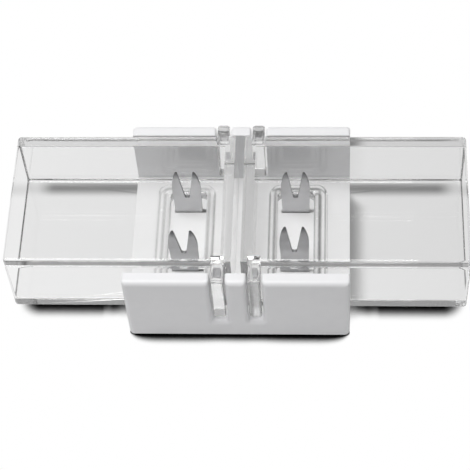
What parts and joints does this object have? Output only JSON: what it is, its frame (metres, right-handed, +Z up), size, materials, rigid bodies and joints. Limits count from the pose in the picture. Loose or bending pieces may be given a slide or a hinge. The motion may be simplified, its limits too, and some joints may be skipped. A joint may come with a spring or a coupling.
{
  "type": "led strip connector",
  "caption": "Solderless connector that joins LED strips end to end: a white slotted clip holds clear open-ended sleeves over stamped piercing forks.",
  "frame": {"origin": "middle of the clip's underside", "axes": "+X along the strips, +Y towards the clip's back wall, +Z up out of the clip"},
  "size_m": [0.045, 0.019, 0.0105],
  "materials": {
    "clip_white": "smooth moulded, softly glossy",
    "carrier_white": "smooth moulded",
    "contact_metal": "tin-plated sheet, stamped",
    "sleeve_clear": "clear polished moulding"
  },
  "bodies": {
    "clip": {"clip_channel": "clip_white", "contact_carrier": "carrier_white", "contact_front": "contact_metal", "contact_back": "contact_metal"},
    "left_sleeve": {"sleeve_left": "sleeve_clear"},
    "right_sleeve": {"sleeve_right": "sleeve_clear"}
  },
  "joints": [
    {"name": "left_sleeve_lift", "type": "slide", "parent": "clip", "child": "left_sleeve", "axis": [0, 0, 1], "range_m": [0, 0.009]},
    {"name": "right_sleeve_lift", "type": "slide", "parent": "clip", "child": "right_sleeve", "axis": [0, 0, 1], "range_m": [0, 0.009]}
  ]
}
